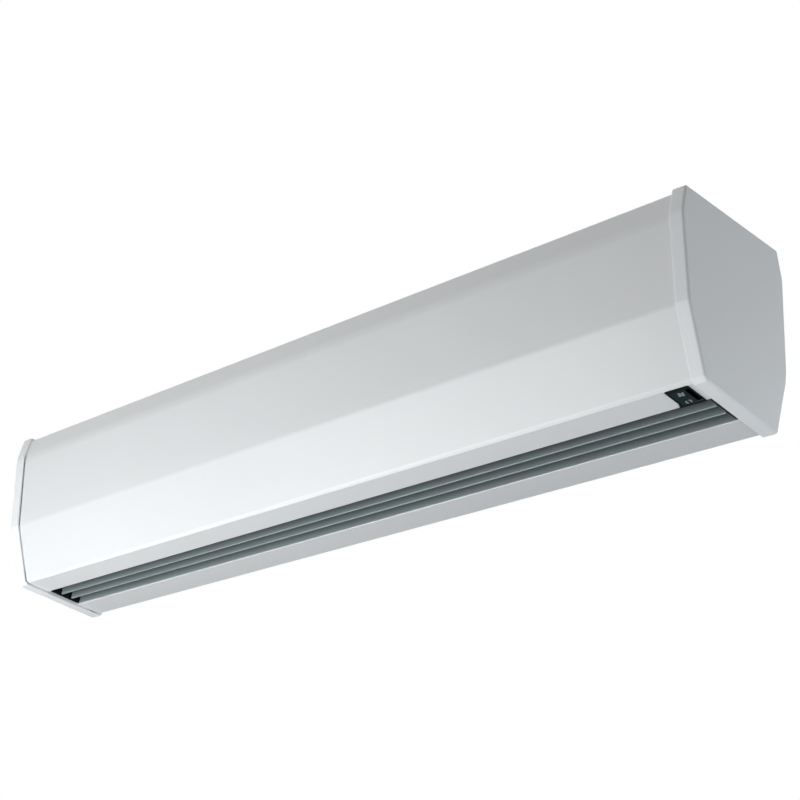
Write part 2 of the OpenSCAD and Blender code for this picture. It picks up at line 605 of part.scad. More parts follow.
// Heater
module heater_rods() color("darkgray") for (p = rod_places) {
  bar_x(-rod_end, rod_end, p, rod_radius);
  bar_x(rod_end - 1, rod_end + 9, p, 1.8);
}
module heater_brackets() color("silver") for (x = rod_plate_x) difference() {
  plate(x - rod_plate / 2, x + rod_plate / 2, [front_wall(0.04), rear_wall(0.04), rear_wall(0.62),
    front_wall(0.56)]);
  for (p = rod_places) bar_x(x - 2, x + 2, p, rod_radius + seat_gap);
}
module overheat_cutout() color("tan") {
  x = rod_plate_x[3] + rod_plate / 2;
  p = between(front_wall(0.46), rear_wall(0.5), 1 / 3);
  bar_x(x, x + 5, p, 6);
  for (side = [-1, 1]) translate([x + 5, p[0] + side * 3 - 1, p[1] - 0.5]) cube([5, 2, 1]);
}

// Electrics on the front duct wall
module wiring_tray() color("silver") at_wall()
  plate(tray_left, tray_right, folded([[0, tray_top], [tray_front, tray_top],
    [tray_front, tray_top - tray_height], [0, tray_top - tray_height]], [1.5, 1.5], duct_sheet));
block_left = tray_right - 6 - block_length;
function terminal(i) = block_left + block_length * (0.1 + 0.2 * i);
module terminal_block() color("ivory") at_wall() difference() {
  box_at([block_left, tray_front - 17, tray_middle - 9],
    [block_left + block_length, tray_front, tray_middle + 9]);
  for (i = [0 : 4]) translate([terminal(i), tray_front - 18, tray_middle]) {
    rotate([-90, 0, 0]) cylinder(h = 9, r = 2.6);
    translate([0, 8, -10]) cylinder(h = 20, r = 2);
  }
}
capacitor_right = tray_left + part_gap + capacitor_length;
board_left = capacitor_right + 0.6 * part_gap;
board_right = block_left - part_gap;
board_half = tray_height / 2 - 3;
function on_board(f) = between(board_left, board_right, f);
module control_board() color("seagreen") at_wall() {
  box_at([board_left, tray_front - 8, tray_middle - board_half],
    [board_right, tray_front - 6.4, tray_middle + board_half]);
  for (x = [on_board(0.05), on_board(0.95)], z = [4 - board_half, board_half - 4])
    translate([x, tray_front, tray_middle + z]) rotate([90, 0, 0]) cylinder(h = 7, r = 2.5);
  box_at([on_board(0.66), tray_front - 17, tray_middle + 1 - board_half],
    [on_board(0.9), tray_front - 8, tray_middle + 13 - board_half]);
}
module relays() color("royalblue") at_wall() for (i = [0 : 1])
  box_at([on_board(0.12 + 0.24 * i), tray_front - 23, tray_middle - 9],
    [on_board(0.31 + 0.24 * i), tray_front - 8, tray_middle + 6.5]);
capacitor_mid = [tray_front - capacitor_radius - 3, tray_middle + 5];
module capacitor() color("lightgray") at_wall() {
  bar_x(capacitor_right - capacitor_length, capacitor_right, capacitor_mid, capacitor_radius);
  for (z = [-4, 4]) translate([capacitor_right, capacitor_mid[0] - 0.4, capacitor_mid[1] + z - 2.4])
    cube([7, 0.8, 4.8]);
}
module capacitor_clip() color("silver") at_wall() difference() {
  x = capacitor_right - capacitor_length / 2;
  union() {
    bar_x(x - 6, x + 6, capacitor_mid, capacitor_radius + 1.2);
    box_at([x - 6, capacitor_mid[0], capacitor_mid[1] - 7], [x + 6, tray_front, capacitor_mid[1] + 7]);
  }
  bar_x(x - 7, x + 7, capacitor_mid, capacitor_radius);
}
// Rubber grommets for the supply cord: one in the top, one in the partition above the electrics
module grommet(place, sheet, wall) translate([entry[0], place[0], place[1]]) difference() {
  union() {
    translate([0, 0, -sheet - grommet_rim]) cylinder(h = sheet + 2 * grommet_rim, r = cord_entry + wall);
    for (foot = [0, -sheet - grommet_rim])
      translate([0, 0, foot]) cylinder(h = grommet_rim, r = cord_entry + wall + grommet_rim);
  }
  translate([0, 0, -through / 2]) cylinder(h = through, r = cord_entry);
}
module cable_grommets() color("black") {
  grommet([entry[1], -cap_proud], cover_sheet + frame_sheet, grommet_wall);
  grommet(cord_pass + [0, duct_sheet], duct_sheet, thin_wall);
}
clamp_mid = block_left - 0.45 * part_gap;
module cord_clamp() color("white") at_wall() difference() {
  box_at([clamp_mid - 7, tray_front - 12, tray_middle], [clamp_mid + 7, tray_front, tray_middle + 14]);
  translate([clamp_mid, tray_front - 6, tray_middle - 1]) cylinder(h = 16, r = cord_entry - 1);
}
// A wire with eight sides. Its route's corners are eased over the distance r.
function eased(p, r) = [for (i = [0 : len(p) - 1]) each (i == 0 || i == len(p) - 1 ? [p[i]] :
  let (u = unit(p[i] - p[i - 1]), v = unit(p[i + 1] - p[i]))
  [for (f = [0 : 0.25 : 1]) p[i] + r * (f * f * v - (1 - f) * (1 - f) * u)])];
module wire(route, radius) {
  path = eased(route, 3);
  last = len(path) - 1;
  points = [for (i = [0 : last]) let (d = unit(path[min(i + 1, last)] - path[max(i - 1, 0)]),
      u = unit(cross(d, [0.31, 0.83, 0.46])), v = cross(d, u))
    for (k = [0 : 7]) path[i] + radius * (cos(45 * k) * u + sin(45 * k) * v)];
  sides = [for (i = [0 : last - 1], k = [0 : 7])
    [8 * i + k, 8 * i + 8 + k, 8 * i + 8 + (k + 1) % 8, 8 * i + (k + 1) % 8]];
  polyhedron(points, concat([[for (k = [0 : 7]) k], [for (k = [7 : -1 : 0]) 8 * last + k]], sides));
}
module wiring() color("firebrick") at_wall() {
  y = tray_front - 10;
  foot = in_wall(at_outlet(hole_front + hole_width / 4, cover_under + switch_height + 7.3));
  // From the terminals to the switches
  for (i = [0 : 2]) let (rise = tray_middle + 25 - 3.4 * i, x = panel_mid + 6 - 6 * i)
    wire([[terminal(i + 2), y, tray_middle + 3], [terminal(i + 2), y, rise], [x, y, rise],
      [x, foot[0], foot[1] + 7], [x, foot[0], foot[1]]], wire_radius);
  // From the terminals to the control board
  for (i = [0 : 1]) let (drop = tray_middle - 12.5 - 3.4 * i)
    wire([[terminal(i), y, tray_middle - 3], [terminal(i), y, drop],
      [on_board(0.9) + 0.3, y, drop]], wire_radius);
  // From the capacitor to the control board
  for (z = [-4, 4]) let (x = capacitor_right + 7.3, z2 = capacitor_mid[1] + z)
    wire([[x, capacitor_mid[0], z2], [x + 9.5, capacitor_mid[0], z2],
      [x + 9.5, tray_front - 8.3, z2]], wire_radius);
  // From the control board through the partition to the motor
  pass = in_wall(wire_pass);
  side = in_wall(axis - [motor_radius + 0.3, 0]);
  for (i = [-1, 1]) let (low = tray_middle - 24 - 1.7 * i, x = wheel_in + 2 * i)
    wire([[on_board(0.78) - 4 * i, y, tray_middle + 0.7 - board_half], [on_board(0.78) - 4 * i, y, low],
      [x, pass[0], low], [x, pass[0], pass[1] + 14 - 3 * i], [motor_length / 4 + 2 * i, pass[0], side[1]],
      [motor_length / 4 + 2 * i, side[0], side[1]]], wire_radius);
}

// Switches in the lip
module switch_panel() color("black") at_face(panel_mid) difference() {
  union() {
    translate([0, 0, cap_proud - panel_flange]) linear_extrude(panel_flange)
      polygon(rounded([[-panel_length / 2, panel_front], [panel_length / 2, panel_front],
        [panel_length / 2, panel_front + panel_width], [-panel_length / 2, panel_front + panel_width]],
        [2, 2, 0.6, 0.6]));
    box_at([-hole_length / 2 + 0.1, hole_front + 0.1, cap_proud - 0.5],
      [hole_length / 2 - 0.1, hole_front + hole_width - 0.1, cover_under]);
  }
  box_at([-hole_length / 2 + 0.5, hole_front + 0.7, -1],
    [hole_length / 2 - 0.5, hole_front + hole_width - 0.7, cover_under + 1]);
}
module switch_body() color("black") at_face(panel_mid) difference() {
  box_at([-hole_length / 2 - 1.4, hole_front - 0.9, cover_under],
    [hole_length / 2 + 1.4, hole_front + hole_width, cover_under + switch_height]);
  box_at([-hole_length / 2 + 0.2, hole_front + 0.7, cover_under - 1],
    [hole_length / 2 - 0.2, hole_front + hole_width - 0.7, cover_under + switch_height - 2]);
  translate([0, 0, pin_height]) rotate([-90, 0, 0]) cylinder(h = 60, r = pin_radius);
}
module switch_terminals() color("goldenrod") at_face(panel_mid)
  for (x = [-6, 0, 6], s = [0.25, 0.75])
    translate([x - 0.4, hole_front + hole_width * s - 2.2, cover_under + switch_height]) cube([0.8, 4.4, 7]);
module rocker_pin() color("silver") at_face(panel_mid)
  translate([0, hole_front - 0.9, pin_height]) rotate([-90, 0, 0])
    cylinder(h = hole_width + 0.9, r = pin_radius);
// A rocker with its right end pressed in
module rocker(start) color("darkslategray") at_face(panel_mid) {
  half = rocker_length / 2;
  difference() {
    union() {
      translate([0, start + rocker_width, cap_proud]) rotate([90, 0, 0]) linear_extrude(rocker_width)
        polygon([[-half, -1.1], [half * 0.5, 0.3], [half, 3.6], [half, 5.6],
          [2.5, 5], [-2.5, 4.4], [-half, 1.4]]);
      translate([0, start, pin_height]) rotate([-90, 0, 0]) cylinder(h = rocker_width, r = pin_radius + 1.6);
    }
    translate([0, 0, pin_height]) rotate([-90, 0, 0]) cylinder(h = 60, r = pin_radius + running_gap);
  }
}
module fan_rocker() rocker(rocker_starts[0]);
module heat_rocker() rocker(rocker_starts[1]);

// Fasteners
module cover_screws() color("gainsboro") {
  for (x = cover_screw_x, side = [-1, 1])
    translate([x, side * hang_spacing_y / 2, -cap_proud]) screw(cover_screw, 8);
  for (x = grille_screw_x, side = [-1, 1])
    translate([x, side * grille_screw_y, -cap_proud]) screw(small_screw, 7);
}
module frame_screws() color("lightgray") for (end = [-1, 1]) mirror([end < 0 ? 1 : 0, 0, 0]) {
  for (i = [0 : 3]) let (packing = i == 0 || i == 3 ? frame_sheet : 0)
    screw_x(plate_in - packing, boss_places[i], -1, frame_screw, 9 + packing + frame_sheet);
  for (side = [-1, 1]) {
    screw_x(body_end, rail_screw(side), 1, small_screw, 6);
    translate([bracket_x + 6, side * (rail_in + grille_seat), -rail_bottom - frame_sheet])
      rotate([180, 0, 0]) screw(small_screw, 6);
  }
  for (a = [90, 210, 330])
    screw_x(body_end + 1.5, round_axis(a, bearing_screw_ring), 1, small_screw, 5);
}

front_cover();
rear_cover();
intake_grille();
mirror([1, 0, 0]) end_cap();  // end_cap_left
end_cap();  // end_cap_right
mirror([1, 0, 0]) end_plate();  // end_plate_left
end_plate();  // end_plate_right
front_rail();
rear_rail();
suspension_bushes();
rear_scroll();
front_duct();
outlet_front_strip();
outlet_rear_strip();
mirror([1, 0, 0]) outlet_end();  // outlet_end_left
outlet_end();  // outlet_end_right
vane_front();
vane_rear();
motor_housing();
motor_stator();
motor_bearings();
motor_core();
motor_shaft();
mirror([1, 0, 0]) motor_bracket();  // motor_bracket_left
motor_bracket();  // motor_bracket_right
motor_rings();
mirror([1, 0, 0]) impeller();  // impeller_left
impeller();  // impeller_right
mirror([1, 0, 0]) drive_hub();  // drive_hub_left
drive_hub();  // drive_hub_right
mirror([1, 0, 0]) stub_shaft();  // stub_shaft_left
stub_shaft();  // stub_shaft_right
mirror([1, 0, 0]) bearing();  // bearing_left
bearing();  // bearing_right
mirror([1, 0, 0]) bearing_cushion();  // bearing_cushion_left
bearing_cushion();  // bearing_cushion_right
mirror([1, 0, 0]) bearing_cup();  // bearing_cup_left
bearing_cup();  // bearing_cup_right
heater_rods();
heater_brackets();
overheat_cutout();
wiring_tray();
terminal_block();
control_board();
relays();
capacitor();
capacitor_clip();
cable_grommets();
cord_clamp();
wiring();
switch_panel();
switch_body();
switch_terminals();
rocker_pin();
fan_rocker();
heat_rocker();
cover_screws();
frame_screws();
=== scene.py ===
import math

import bmesh
import bpy
from mathutils import Matrix, Vector


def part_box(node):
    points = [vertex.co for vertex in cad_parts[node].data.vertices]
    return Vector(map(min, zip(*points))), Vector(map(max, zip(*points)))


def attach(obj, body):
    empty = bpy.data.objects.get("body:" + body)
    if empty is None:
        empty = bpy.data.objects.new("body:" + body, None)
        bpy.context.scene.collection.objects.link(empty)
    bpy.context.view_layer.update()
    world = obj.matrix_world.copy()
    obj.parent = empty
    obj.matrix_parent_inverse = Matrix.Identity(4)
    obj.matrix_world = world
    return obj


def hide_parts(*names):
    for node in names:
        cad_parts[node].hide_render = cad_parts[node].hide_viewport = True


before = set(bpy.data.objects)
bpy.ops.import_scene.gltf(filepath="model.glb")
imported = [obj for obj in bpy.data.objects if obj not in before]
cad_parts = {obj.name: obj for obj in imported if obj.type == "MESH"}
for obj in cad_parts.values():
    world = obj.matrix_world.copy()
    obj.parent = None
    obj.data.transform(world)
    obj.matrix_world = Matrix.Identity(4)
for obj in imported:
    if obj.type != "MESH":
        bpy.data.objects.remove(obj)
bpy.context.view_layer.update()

# Lengths are metres. X runs along the casing, the front faces -Y and Z points up.
# The end cap's outline: depths at its levels, and how far each level lies below the top.
TOP_WIDTH = 0.166
SHOULDER_WIDTH = 0.181
WAIST_WIDTH = 0.172
OUTLET_FACE = 0.122
SHOULDER_DROP = 0.031
WAIST_DROP = 0.123
REAR_BEND_DROP = 0.142
FRONT_DROP = 0.196
REAR_DROP = 0.209
# The casing inside the caps
CAP_PROUD = 0.003
CAP_GAP = 0.0005
CAP_RIM = 0.006
CAP_FACE = 0.003
COVER_SHEET = 0.0015
GRILLE_HALF = 0.052
LIP_DEPTH = 0.035
OUTLET_GAP = 0.048
LIP_FOLD = 0.008
TILT = math.atan((REAR_DROP - FRONT_DROP) / OUTLET_FACE)
# How far the bent sheets and the caps carry the outlet face on in front of its corner
CORNER_REACH = 0.0025
# Points nearer to each other than TOUCH are one point. NEAR is a looser test of the same.
TOUCH = 1e-6
NEAR = 1e-5

body_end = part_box("front_cover")[1].x
cap_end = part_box("end_cap_right")[1].x
slot_end = LIP_DEPTH + OUTLET_GAP
cover_end = body_end - CAP_GAP


# The casing's section, in (y, z)
def outlet_point(s, n):
    """The point s behind the outlet face's front corner and n above that face."""
    return Vector((-OUTLET_FACE / 2, -FRONT_DROP)) + Matrix.Rotation(-TILT, 2) @ Vector((s, n))


def inset(outline, depth):
    """A closed outline that runs counterclockwise, moved inwards."""
    moved = []
    for i, point in enumerate(outline):
        before = (point - outline[i - 1]).normalized()
        after = (outline[(i + 1) % len(outline)] - point).normalized()
        side = Vector((-before.y - after.y, before.x + after.x))
        moved.append(point + side * depth / (1 + before.dot(after)))
    return moved


front_half = [
    Vector((-TOP_WIDTH / 2, 0)),
    Vector((-SHOULDER_WIDTH / 2, -SHOULDER_DROP)),
    Vector((-WAIST_WIDTH / 2, -WAIST_DROP)),
    outlet_point(-CORNER_REACH, 0),
]
rear_half = [
    Vector((OUTLET_FACE / 2, -REAR_DROP)),
    Vector((WAIST_WIDTH / 2, -REAR_BEND_DROP)),
    Vector((SHOULDER_WIDTH / 2, -SHOULDER_DROP)),
    Vector((TOP_WIDTH / 2, 0)),
]
# The front lower corner's place in the outline, and how far its chamfer cuts the sheet and the caps
FRONT_CORNER = 3
LIP_CUT = 0.0027
CAP_CUT = 0.0035


def cut_corner(outline, index, cut):
    """An outline with one corner cut off flat, so far back along both of its sides."""
    corner = outline[index]
    before = corner + (outline[index - 1] - corner).normalized() * cut
    after = corner + (outline[index + 1] - corner).normalized() * cut
    return outline[:index] + [before, after] + outline[index + 1:]


CASING_MIDDLE = Vector((0, 0, -REAR_DROP / 2))
cap_outline = front_half + rear_half
skin = inset(cap_outline, CAP_PROUD)


# Materials: the noise between these two levels carries the change of a colour or a gloss
NOISE_LOW = 0.3
NOISE_HIGH = 0.7
COAT_ROUGHNESS = 0.12
GRAIN_DEPTH = 0.0002
# Dust: its colour, the upward part of a normal above which it settles, and its patches' scale
DUST_COLOUR = (0.42, 0.40, 0.37, 1)
DUST_FACING = 0.75
DUST_PATCHES = 14
# The zinc's crystals: their scale, and the change of colour and gloss from one to the next
SPANGLE = 160
SPANGLE_CHANGE = 0.12
SPANGLE_ROUGHNESS = (0.34, 0.5)


def new_material(name):
    """A material with its nodes and links at hand."""
    material = bpy.data.materials.new(name)
    material.use_nodes = True
    return material, material.node_tree.nodes, material.node_tree.links


def object_noise(nodes, links, scale, stretch=(1, 1, 1), detail=3):
    """Noise in the object's own coordinates, stretched along its axes."""
    place = nodes.new("ShaderNodeTexCoord")
    mapping = nodes.new("ShaderNodeMapping")
    mapping.inputs["Scale"].default_value = stretch
    links.new(place.outputs["Object"], mapping.inputs["Vector"])
    noise = nodes.new("ShaderNodeTexNoise")
    noise.inputs["Scale"].default_value = scale
    noise.inputs["Detail"].default_value = detail
    links.new(mapping.outputs["Vector"], noise.inputs["Vector"])
    return noise.outputs["Fac"]


def spread(nodes, links, value, low, high):
    """Maps the middle of a noise's range to low and high."""
    reach = nodes.new("ShaderNodeMapRange")
    reach.inputs["From Min"].default_value = NOISE_LOW
    reach.inputs["From Max"].default_value = NOISE_HIGH
    reach.inputs["To Min"].default_value = low
    reach.inputs["To Max"].default_value = high
    links.new(value, reach.inputs["Value"])
    return reach.outputs["Result"]


def tint(nodes, links, value, colour, change):
    """The colour, made lighter and darker by a share of itself as the value runs."""
    ramp = nodes.new("ShaderNodeValToRGB")
    for element, side in zip(ramp.color_ramp.elements, (1 - change, 1 + change)):
        element.color = (*(min(1, c * side) for c in colour), 1)
    ramp.color_ramp.elements[0].position = NOISE_LOW
    ramp.color_ramp.elements[1].position = NOISE_HIGH
    links.new(value, ramp.inputs["Fac"])
    return ramp.outputs["Color"]


def finish(name, colour, metallic=0.0, roughness=0.4, grain=400, stretch=(1, 1, 1), change=0.03,
           rough_change=0.05, bump=0.02, coat=0.0, mottle=9, shine=0.5):
    """A surface with a broad mottle in its colour and a fine grain in its gloss and relief."""
    material, nodes, links = new_material(name)
    shader = nodes["Principled BSDF"]
    shader.inputs["Specular IOR Level"].default_value = shine
    shader.inputs["Metallic"].default_value = metallic
    shader.inputs["Coat Weight"].default_value = coat
    shader.inputs["Coat Roughness"].default_value = COAT_ROUGHNESS
    broad = object_noise(nodes, links, mottle, stretch)
    fine = object_noise(nodes, links, grain, stretch)
    links.new(tint(nodes, links, broad, colour, change), shader.inputs["Base Color"])
    links.new(spread(nodes, links, fine, roughness - rough_change, roughness + rough_change),
              shader.inputs["Roughness"])
    relief = nodes.new("ShaderNodeBump")
    relief.inputs["Strength"].default_value = bump
    relief.inputs["Distance"].default_value = GRAIN_DEPTH
    links.new(fine, relief.inputs["Height"])
    links.new(relief.outputs["Normal"], shader.inputs["Normal"])
    return material


def dusty(material, amount=0.35):
    """Lets a little pale dust settle in patches on what faces up."""
    nodes, links = material.node_tree.nodes, material.node_tree.links
    shader = nodes["Principled BSDF"]
    facing = nodes.new("ShaderNodeNewGeometry")
    axes = nodes.new("ShaderNodeSeparateXYZ")
    links.new(facing.outputs["Normal"], axes.inputs["Vector"])
    level = nodes.new("ShaderNodeMapRange")
    level.inputs["From Min"].default_value = DUST_FACING
    level.inputs["To Max"].default_value = amount
    links.new(axes.outputs["Z"], level.inputs["Value"])
    patches = nodes.new("ShaderNodeMath")
    patches.operation = "MULTIPLY"
    links.new(level.outputs["Result"], patches.inputs[0])
    links.new(object_noise(nodes, links, DUST_PATCHES, detail=6), patches.inputs[1])
    cover = nodes.new("ShaderNodeMix")
    cover.data_type = "RGBA"
    cover.inputs["B"].default_value = DUST_COLOUR
    links.new(patches.outputs["Value"], cover.inputs["Factor"])
    links.new(shader.inputs["Base Color"].links[0].from_socket, cover.inputs["A"])
    links.new(cover.outputs["Result"], shader.inputs["Base Color"])


def galvanised(name, colour):
    """Zinc sheet with its crystal spangle."""
    material = finish(name, colour, metallic=0.9, roughness=0.42, grain=900, bump=0.03)
    nodes, links = material.node_tree.nodes, material.node_tree.links
    place = nodes.new("ShaderNodeTexCoord")
    crystal = nodes.new("ShaderNodeTexVoronoi")
    crystal.inputs["Scale"].default_value = SPANGLE
    links.new(place.outputs["Object"], crystal.inputs["Vector"])
    grey = nodes.new("ShaderNodeSeparateColor")
    links.new(crystal.outputs["Color"], grey.inputs["Color"])
    shader = nodes["Principled BSDF"]
    links.new(tint(nodes, links, grey.outputs["Red"], colour, SPANGLE_CHANGE),
              shader.inputs["Base Color"])
    links.new(spread(nodes, links, grey.outputs["Green"], *SPANGLE_ROUGHNESS),
              shader.inputs["Roughness"])
    return material


# Stretches of a finish's grain: drawn out along the casing, or crowded along it for stacked plates
ALONG_X = (0.02, 1, 1)
STACKED = (4, 0.1, 0.1)

front_paint = finish("white_powder_coat", (0.705, 0.726, 0.74), roughness=0.34, grain=700,
                     change=0.012, rough_change=0.04, bump=0.05, coat=0.25, mottle=6)
# The rear cover's paint is the front cover's paint made darker: painted shade for the lesser light
# on the rear panel
shaded_rear_paint = finish("rear_powder_coat_painted_shade", (0.64, 0.66, 0.675), roughness=0.36, grain=700,
                    change=0.012, rough_change=0.04, bump=0.05, coat=0.2, mottle=6)
cap_white = finish("white_moulding", (0.77, 0.795, 0.812), roughness=0.38, grain=1100,
                   change=0.012, rough_change=0.04, bump=0.04, coat=0.15, mottle=7)
grille_paint = finish("grille_powder_coat", (0.78, 0.79, 0.79), roughness=0.38, grain=700,
                      change=0.015, bump=0.05, coat=0.2)
vane_grey = finish("anodised_grey", (0.275, 0.33, 0.34), metallic=0.2, roughness=0.42, grain=900,
                   stretch=ALONG_X, change=0.06, bump=0.05)
black_moulding = finish("black_moulding", (0.007, 0.012, 0.013), roughness=0.5, grain=1500,
                        change=0.1, bump=0.1, shine=0.1)
rocker_black = finish("rocker_black", (0.012, 0.022, 0.024), roughness=0.45, grain=1200,
                      change=0.08, bump=0.03, shine=0.18)
print_grey = finish("pad_print_grey", (0.24, 0.29, 0.30), roughness=0.5, grain=2500, bump=0.05)
zinc_sheet = galvanised("zinc_sheet", (0.62, 0.63, 0.64))
duct_sheet = galvanised("galvanised_duct", (0.54, 0.55, 0.56))
motor_enamel = finish("motor_enamel", (0.10, 0.11, 0.12), roughness=0.45, grain=500, bump=0.12)
winding = finish("varnished_copper", (0.45, 0.17, 0.07), metallic=0.6, roughness=0.35, grain=1800,
                 stretch=ALONG_X, change=0.2, bump=0.3)
ground_steel = finish("ground_steel", (0.62, 0.62, 0.63), metallic=1.0, roughness=0.22, grain=1500,
                      stretch=ALONG_X, bump=0.05)
laminations = finish("laminations", (0.28, 0.28, 0.29), metallic=0.8, roughness=0.5, grain=1500,
                     stretch=STACKED, change=0.2, bump=0.3)
rubber = finish("rubber", (0.02, 0.02, 0.02), roughness=0.75, grain=1300, change=0.15, bump=0.15)
wheel_alloy = finish("wheel_alloy", (0.36, 0.37, 0.38), metallic=0.85, roughness=0.45, grain=800,
                     stretch=ALONG_X, change=0.08, bump=0.06)
rod_steel = finish("heating_rod_steel", (0.30, 0.29, 0.27), metallic=0.9, roughness=0.45,
                   grain=900, change=0.15, bump=0.08)
phenolic = finish("phenolic", (0.28, 0.16, 0.08), roughness=0.4, grain=900, change=0.1)
ivory = finish("ivory_moulding", (0.72, 0.70, 0.62), roughness=0.4, grain=900)
circuit_green = finish("circuit_board", (0.012, 0.10, 0.035), roughness=0.3, grain=700, change=0.25,
                       bump=0.1, mottle=300)
relay_blue = finish("relay_blue", (0.02, 0.06, 0.22), roughness=0.4, grain=900)
drawn_can = finish("drawn_can", (0.66, 0.67, 0.68), metallic=1.0, roughness=0.3, grain=1200,
                   stretch=ALONG_X, bump=0.04)
wire_red = finish("wire_insulation", (0.32, 0.03, 0.02), roughness=0.5, grain=1500)
brass = finish("brass", (0.60, 0.42, 0.16), metallic=1.0, roughness=0.3, grain=1500)
yellow_zinc = finish("yellow_zinc", (0.58, 0.50, 0.28), metallic=0.95, roughness=0.32, grain=900,
                     change=0.12, bump=0.05)
screw_zinc = finish("screw_zinc", (0.62, 0.63, 0.64), metallic=1.0, roughness=0.28, grain=1500,
                    bump=0.04)

# Height above the outlet face at which the painted shade inside the slot starts, how far up it
# deepens, and the share of the colour that it leaves there
MOUTH = 0.0045
SHADE_DEPTH = 0.009
SHADE_LEAVES = 0.40


def painted_depth_shade(material, deepest):
    """Paints shade into a finish: darker away from the outlet's mouth, deeper inside the slot,
    where the slot lies in shade.
    """
    nodes, links = material.node_tree.nodes, material.node_tree.links
    shader = nodes["Principled BSDF"]
    upwards = Vector((0, math.sin(TILT), math.cos(TILT)))
    mouth = Vector((0, *outlet_point(0, MOUTH))).dot(upwards)
    place = nodes.new("ShaderNodeTexCoord")
    depth = nodes.new("ShaderNodeVectorMath")
    depth.operation = "DOT_PRODUCT"
    depth.inputs[1].default_value = upwards
    links.new(place.outputs["Object"], depth.inputs[0])
    share = nodes.new("ShaderNodeMapRange")
    share.inputs["From Min"].default_value = mouth
    share.inputs["From Max"].default_value = mouth + SHADE_DEPTH
    share.inputs["To Min"].default_value = 1
    share.inputs["To Max"].default_value = deepest
    links.new(depth.outputs["Value"], share.inputs["Value"])
    darker = nodes.new("ShaderNodeVectorMath")
    darker.operation = "SCALE"
    links.new(shader.inputs["Base Color"].links[0].from_socket, darker.inputs[0])
    links.new(share.outputs["Result"], darker.inputs["Scale"])
    links.new(darker.outputs["Vector"], shader.inputs["Base Color"])


# Painted shade: the vanes and outlet strips get darker the deeper they lie inside the slot
painted_depth_shade(vane_grey, SHADE_LEAVES)
for settled in (front_paint, shaded_rear_paint, cap_white, grille_paint, zinc_sheet, duct_sheet,
                motor_enamel):
    dusty(settled)

node_finish = {
    "intake_grille": grille_paint, "end_plate_left": zinc_sheet, "end_plate_right": zinc_sheet,
    "front_rail": zinc_sheet, "rear_rail": zinc_sheet, "suspension_bushes": yellow_zinc,
    "rear_scroll": duct_sheet, "front_duct": duct_sheet, "outlet_front_strip": vane_grey,
    "outlet_rear_strip": vane_grey, "outlet_end_left": black_moulding,
    "outlet_end_right": black_moulding, "motor_housing": motor_enamel, "motor_stator": winding,
    "motor_bearings": ground_steel, "motor_core": laminations, "motor_shaft": ground_steel,
    "motor_bracket_left": zinc_sheet, "motor_bracket_right": zinc_sheet, "motor_rings": rubber,
    "impeller_left": wheel_alloy, "impeller_right": wheel_alloy, "drive_hub_left": rubber,
    "drive_hub_right": rubber, "stub_shaft_left": ground_steel, "stub_shaft_right": ground_steel,
    "bearing_left": ground_steel, "bearing_right": ground_steel, "bearing_cushion_left": rubber,
    "bearing_cushion_right": rubber, "bearing_cup_left": zinc_sheet,
    "bearing_cup_right": zinc_sheet, "heater_rods": rod_steel, "heater_brackets": zinc_sheet,
    "overheat_cutout": phenolic, "wiring_tray": zinc_sheet, "terminal_block": ivory,
    "control_board": circuit_green, "relays": relay_blue, "capacitor": drawn_can,
    "capacitor_clip": zinc_sheet, "cable_grommets": rubber, "cord_clamp": ivory,
    "wiring": wire_red, "switch_body": black_moulding, "switch_terminals": brass,
    "rocker_pin": ground_steel, "cover_screws": screw_zinc, "frame_screws": screw_zinc,
}
for node, material in node_finish.items():
    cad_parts[node].data.materials.clear()
    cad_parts[node].data.materials.append(material)


# Making pieces
def add_piece(bm, name, body, material, replaced=(), sharp=35):
    """Turns a finished bmesh into a piece that rides on a body."""
    mesh = bpy.data.meshes.new(name)
    bm.to_mesh(mesh)
    bm.free()
    mesh.shade_smooth()
    mesh.set_sharp_from_angle(angle=math.radians(sharp))
    mesh.materials.append(material)
    piece = bpy.data.objects.new(name, mesh)
    bpy.context.scene.collection.objects.link(piece)
    shading = piece.modifiers.new("even_shading", "WEIGHTED_NORMAL")
    shading.keep_sharp = True
    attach(piece, body)
    if replaced:
        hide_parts(*replaced)


def grown(result, kind):
    """The vertices, edges or faces in what an operator made."""
    return [g for g in result if isinstance(g, kind)]


def bevel(bm, edges, width, segments):
    """Rounds the edges, so far back along the faces on both sides."""
    bmesh.ops.bevel(bm, geom=edges, offset=width, offset_type="OFFSET", segments=segments,
                    profile=0.5, affect="EDGES", clamp_overlap=True, material=-1)


def soften(bm, width, angle=50, segments=2):
    """Rounds every edge that is sharper than the angle."""
    sharp = [e for e in bm.edges
             if len(e.link_faces) == 2 and e.calc_face_angle() > math.radians(angle)]
    bevel(bm, sharp, width, segments)


def round_along_x(bm, point, radius, segments=6):
    """Rounds the edges that run along X through a corner of the section."""
    edges = [e for e in bm.edges
             if all((Vector(v.co.yz) - point).length < TOUCH for v in e.verts)
             and abs(e.verts[0].co.x - e.verts[1].co.x) > TOUCH]
    turn = edges[0].calc_face_angle()
    bevel(bm, edges, radius * math.tan(turn / 2), segments)


def bent_sheet(path, radii):
    """A sheet along the casing: its outer path in (y, z) is folded at each corner to a radius.

    Its faces look away from the casing's middle.
    """
    bm = bmesh.new()
    corners = [bm.verts.new((-cover_end, *p)) for p in path]
    edges = [bm.edges.new(pair) for pair in zip(corners, corners[1:])]
    sheet = bmesh.ops.extrude_edge_only(bm, edges=edges)["geom"]
    bmesh.ops.translate(bm, verts=grown(sheet, bmesh.types.BMVert), vec=(2 * cover_end, 0, 0))
    for point, radius in zip(path[1:-1], radii):
        round_along_x(bm, point, radius)
    bm.normal_update()
    outwards = sum(f.calc_area() * f.normal.dot(f.calc_center_median() - CASING_MIDDLE)
                   for f in bm.faces)
    if outwards < 0:
        bmesh.ops.reverse_faces(bm, faces=bm.faces[:])
    return bm


